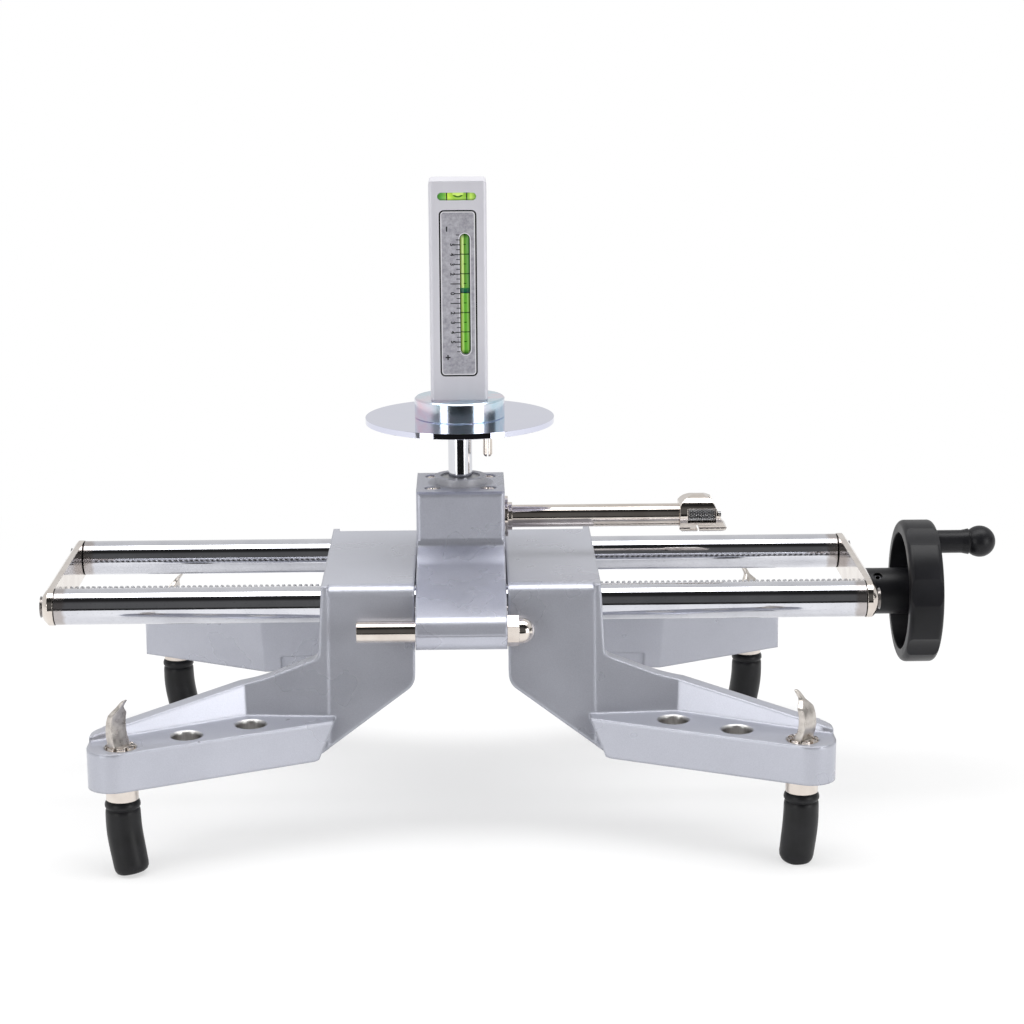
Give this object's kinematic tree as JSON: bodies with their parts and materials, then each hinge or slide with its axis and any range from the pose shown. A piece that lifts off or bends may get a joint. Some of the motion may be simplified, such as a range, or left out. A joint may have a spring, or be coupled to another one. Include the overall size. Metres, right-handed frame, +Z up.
{
  "type": "camber caster gauge",
  "caption": "Self-centring wheel clamp on guide tubes with a lead screw and handwheel, rubber-covered fingers and a magnetic camber gauge on its spindle.",
  "frame": {"origin": "on the spindle axis, in the plane of the finger ends that the clamp stands on", "axes": "+Z up along the spindle, away from the wheel; +X along the guide tubes towards the handwheel; -Y towards the side with the gauge scale"},
  "size_m": [0.6726, 0.3658, 0.4412],
  "materials": {
    "cast_paint": "satin silver-grey paint over cast aluminium",
    "chrome": "hard chrome, polished",
    "nickel": "bright nickel plate with a warm tint",
    "zinc": "bright zinc plate, blue tint",
    "steel": "turned steel",
    "black_steel": "blackened steel",
    "aluminium": "satin anodised",
    "scale": "etched grey plate, mottled",
    "vial": "clear vial with yellow-green liquid",
    "bronze": "machined bronze",
    "rubber": "smooth black rubber",
    "plastic": "fine-grained black plastic"
  },
  "bodies": {
    "frame": {"centre_hub": "cast_paint", "front_tube": "chrome", "rear_tube": "chrome", "left_end_plate": "nickel", "right_end_plate": "nickel", "tube_plugs": "steel", "plate_screws": "steel", "screw_bushes": "bronze", "hub_grub_screws": "black_steel", "spindle_cartridge": "aluminium", "spindle_bearings": "steel", "cartridge_screws": "black_steel", "long_rod": "nickel", "rod_flange": "nickel", "rod_head": "nickel", "rod_jaw": "nickel", "knurl_pin": "steel", "short_rod": "nickel", "acorn_nut": "nickel"},
    "lead_screw": {"lead_screw": "chrome", "thrust_ring": "steel", "handwheel": "plastic", "wheel_grub_screw": "black_steel", "crank_pin": "steel"},
    "crank": {"crank_handle": "plastic"},
    "left_slider": {"left_slider": "cast_paint", "left_guide_bushes": "bronze", "left_lead_nut": "bronze"},
    "right_slider": {"right_slider": "cast_paint", "right_guide_bushes": "bronze", "right_lead_nut": "bronze"},
    "spindle": {"spindle": "chrome", "gauge_disc": "chrome", "disc_pin": "nickel", "disc_screw": "steel"},
    "gauge": {"gauge_foot": "zinc", "gauge_stud": "steel", "gauge_body": "aluminium", "scale_plate": "scale", "camber_vial": "vial", "level_vial": "vial"},
    "roller": {"knurled_roller": "steel"},
    "claw_front_left": {"claw_front_left": "nickel", "claw_ring_front_left": "nickel", "sleeve_front_left": "rubber"},
    "claw_front_right": {"claw_front_right": "nickel", "claw_ring_front_right": "nickel", "sleeve_front_right": "rubber"},
    "claw_rear_left": {"claw_rear_left": "nickel", "claw_ring_rear_left": "nickel", "sleeve_rear_left": "rubber"},
    "claw_rear_right": {"claw_rear_right": "nickel", "claw_ring_rear_right": "nickel", "sleeve_rear_right": "rubber"}
  },
  "joints": [
    {"name": "screw_turn", "type": "hinge", "parent": "frame", "child": "lead_screw", "pos_m": [0, 0, 0.1435], "axis": [1, 0, 0], "range_deg": [0, 15750]},
    {"name": "left_slide", "type": "slide", "parent": "frame", "child": "left_slider", "axis": [-1, 0, 0], "range_m": [0, 0.175]},
    {"name": "right_slide", "type": "slide", "parent": "frame", "child": "right_slider", "axis": [1, 0, 0], "range_m": [0, 0.175]},
    {"name": "crank_spin", "type": "hinge", "parent": "lead_screw", "child": "crank", "pos_m": [0.36, 0, 0.1795], "axis": [1, 0, 0], "continuous": true},
    {"name": "spindle_spin", "type": "hinge", "parent": "frame", "child": "spindle", "pos_m": [0, 0, 0.2266], "axis": [0, 0, 1], "continuous": true},
    {"name": "gauge_lift", "type": "slide", "parent": "spindle", "child": "gauge", "axis": [0, 0, 1], "range_m": [0, 0.05]},
    {"name": "roller_spin", "type": "hinge", "parent": "frame", "child": "roller", "pos_m": [0.166, -0.007, 0.203], "axis": [1, 0, 0], "continuous": true},
    {"name": "claw_turn_front_left", "type": "hinge", "parent": "left_slider", "child": "claw_front_left", "pos_m": [-0.2248, -0.1656, 0.07], "axis": [0, 0, 1], "continuous": true},
    {"name": "claw_turn_front_right", "type": "hinge", "parent": "right_slider", "child": "claw_front_right", "pos_m": [0.2248, -0.1656, 0.07], "axis": [0, 0, 1], "continuous": true},
    {"name": "claw_turn_rear_left", "type": "hinge", "parent": "left_slider", "child": "claw_rear_left", "pos_m": [-0.2248, 0.1656, 0.07], "axis": [0, 0, 1], "continuous": true},
    {"name": "claw_turn_rear_right", "type": "hinge", "parent": "right_slider", "child": "claw_rear_right", "pos_m": [0.2248, 0.1656, 0.07], "axis": [0, 0, 1], "continuous": true}
  ],
  "couplings": [
    {"joint": "screw_turn", "follows": "left_slide", "rad_per_m": 1570.8},
    {"joint": "right_slide", "follows": "left_slide", "ratio": 1}
  ]
}
